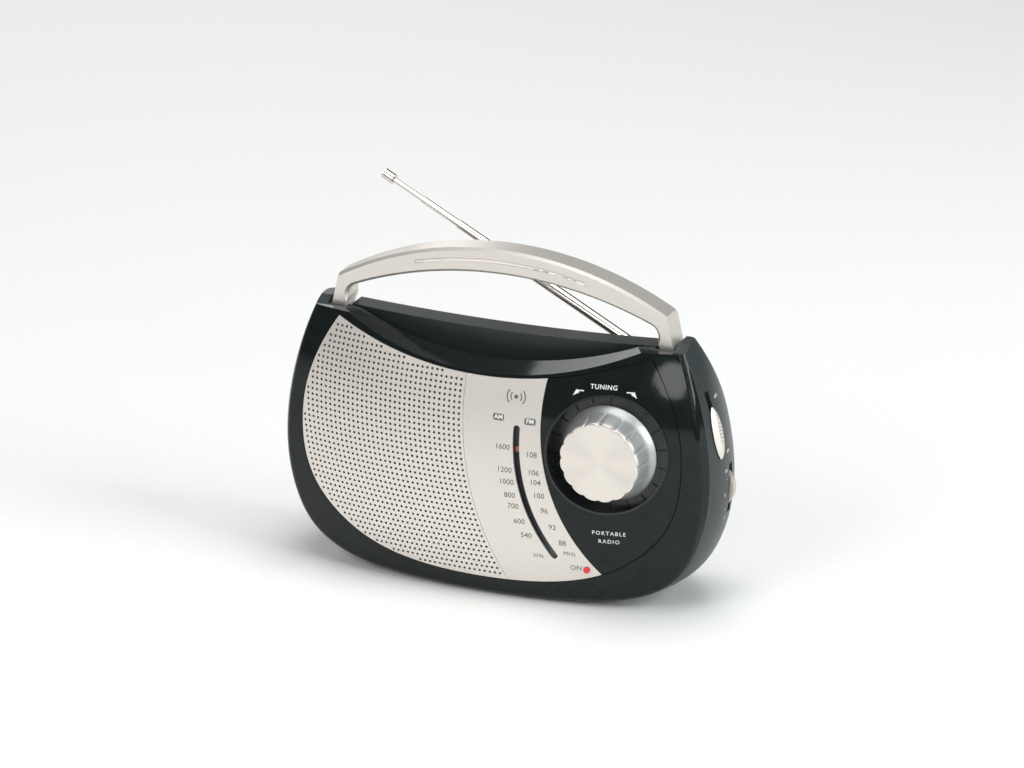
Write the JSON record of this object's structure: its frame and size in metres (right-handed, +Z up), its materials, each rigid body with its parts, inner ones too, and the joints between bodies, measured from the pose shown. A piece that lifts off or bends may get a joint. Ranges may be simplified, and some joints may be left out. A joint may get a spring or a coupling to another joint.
{
  "type": "portable radio",
  "caption": "Portable tabletop radio: rounded case, perforated speaker grille, curved dial with pointer, tuning knob, carrying handle and telescopic aerial.",
  "frame": {"origin": "point on the table midway between the four rubber feet's outer sides, under the middle of the case", "axes": "+Z up, the dial faces -Y, +X to the right seen from the front"},
  "size_m": [0.2231, 0.0927, 0.1749],
  "materials": {
    "gloss_case": "high gloss",
    "satin_case": "satin",
    "silver_paint": "fine metallic paint",
    "silver_knob": "metallised satin",
    "spun_cap": "spun face",
    "black_plastic": "moulded",
    "dark_plastic": "moulded",
    "white_plastic": "moulded",
    "red_plastic": "moulded",
    "red_lens": "clear red lens",
    "steel": "plated",
    "core_steel": "laminated",
    "chrome": "polished",
    "rubber": "matte",
    "paper": "pressed paper",
    "felt": "thin cloth",
    "ferrite": "sintered",
    "copper": "enamelled wire",
    "cell_jacket": "printed jacket, plain",
    "board": "phenolic board",
    "capacitor_sleeve": "sleeve",
    "resistor_body": "lacquer"
  },
  "bodies": {
    "case": {"front_shell": "gloss_case", "rear_shell": "satin_case", "speaker_grille": "silver_paint", "dial_plate": "silver_paint", "knob_fascia": "gloss_case", "tuning_ring": "black_plastic", "dial_backplate": "dark_plastic", "pointer_rail": "steel", "led_lens": "red_lens", "rubber_feet": "rubber", "case_screws": "steel", "handle_pins": "steel", "volume_control": "dark_plastic", "band_switch": "steel", "mains_inlet": "black_plastic", "earphone_jack": "black_plastic", "speaker_frame": "steel", "speaker_cone": "paper", "speaker_dust_cap": "paper", "speaker_magnet": "ferrite", "speaker_cloth": "felt", "battery_cells": "cell_jacket", "battery_springs": "steel", "battery_contacts": "steel", "battery_tray": "dark_plastic", "circuit_board": "board", "tuning_capacitor": "white_plastic", "if_coil_cans": "steel", "electrolytic_capacitors": "capacitor_sleeve", "radio_chips": "dark_plastic", "chip_pins": "steel", "resistors": "resistor_body", "board_screws": "steel", "ferrite_rod": "ferrite", "ferrite_coils": "copper", "ferrite_clips": "white_plastic", "transformer_core": "core_steel", "transformer_coil": "copper"},
    "tuning_drive": {"tuning_knob": "silver_knob", "tuning_knob_cap": "spun_cap", "tuning_shaft": "steel", "dial_drum": "white_plastic"},
    "pointer": {"dial_pointer": "red_plastic"},
    "handle": {"carry_handle": "silver_paint"},
    "volume": {"volume_wheel": "silver_paint", "volume_wheel_trim": "silver_paint", "volume_shaft": "steel"},
    "band_knob": {"band_switch_knob": "silver_knob"},
    "aerial_base": {"aerial_post": "chrome", "aerial_pin": "steel"},
    "aerial_arm": {"aerial_knuckle": "chrome", "aerial_tube_base": "chrome"},
    "aerial_second": {"aerial_tube_second": "chrome"},
    "aerial_third": {"aerial_tube_third": "chrome"},
    "aerial_tip": {"aerial_rod_tip": "chrome", "aerial_tip_cap": "chrome"},
    "door": {"battery_door": "satin_case", "battery_door_latch": "satin_case"}
  },
  "joints": [
    {"name": "tuning_knob_turn", "type": "hinge", "parent": "case", "child": "tuning_drive", "pos_m": [0.061, -0.03, 0.0785], "axis": [0, -1, 0], "range_deg": [-140, 0]},
    {"name": "pointer_travel", "type": "hinge", "parent": "case", "child": "pointer", "pos_m": [0.1174, -0.033, 0.0838], "axis": [0, -1, 0], "range_deg": [0, 26.5]},
    {"name": "handle_fold", "type": "hinge", "parent": "case", "child": "handle", "pos_m": [0, -0.003, 0.116], "axis": [-1, 0, 0], "range_deg": [0, 35]},
    {"name": "volume_turn", "type": "hinge", "parent": "case", "child": "volume", "pos_m": [0.1011, 0.0017, 0.0586], "axis": [0, -1, 0], "range_deg": [-150, 120]},
    {"name": "band_switch_slide", "type": "hinge", "parent": "case", "child": "band_knob", "pos_m": [-0.0215, -0.008, 0.06], "axis": [0, -1, 0], "range_deg": [0, 3.4]},
    {"name": "aerial_swivel", "type": "hinge", "parent": "case", "child": "aerial_base", "pos_m": [0.0661, 0.02, 0.102], "axis": [0, 0, -1], "range_deg": [-11, 168]},
    {"name": "aerial_tilt", "type": "hinge", "parent": "aerial_base", "child": "aerial_arm", "pos_m": [0.0661, 0.02, 0.109], "axis": [-0.194, -0.981, 0], "range_deg": [-67.5, 22.4]},
    {"name": "aerial_slide_1", "type": "slide", "parent": "aerial_arm", "child": "aerial_second", "axis": [-0.9062, 0.179, 0.3831], "range_m": [-0.0193, 0.058]},
    {"name": "aerial_slide_2", "type": "slide", "parent": "aerial_second", "child": "aerial_third", "axis": [-0.9062, 0.179, 0.3831], "range_m": [-0.0223, 0.05]},
    {"name": "aerial_slide_3", "type": "slide", "parent": "aerial_third", "child": "aerial_tip", "axis": [-0.9062, 0.179, 0.3831], "range_m": [-0.018, 0.05]},
    {"name": "battery_door_swing", "type": "hinge", "parent": "case", "child": "door", "pos_m": [0, 0.02936, 0.01035], "axis": [-1, 0, 0], "range_deg": [0, 75]}
  ],
  "couplings": [
    {"joint": "pointer_travel", "follows": "tuning_knob_turn", "ratio": -0.18786}
  ]
}
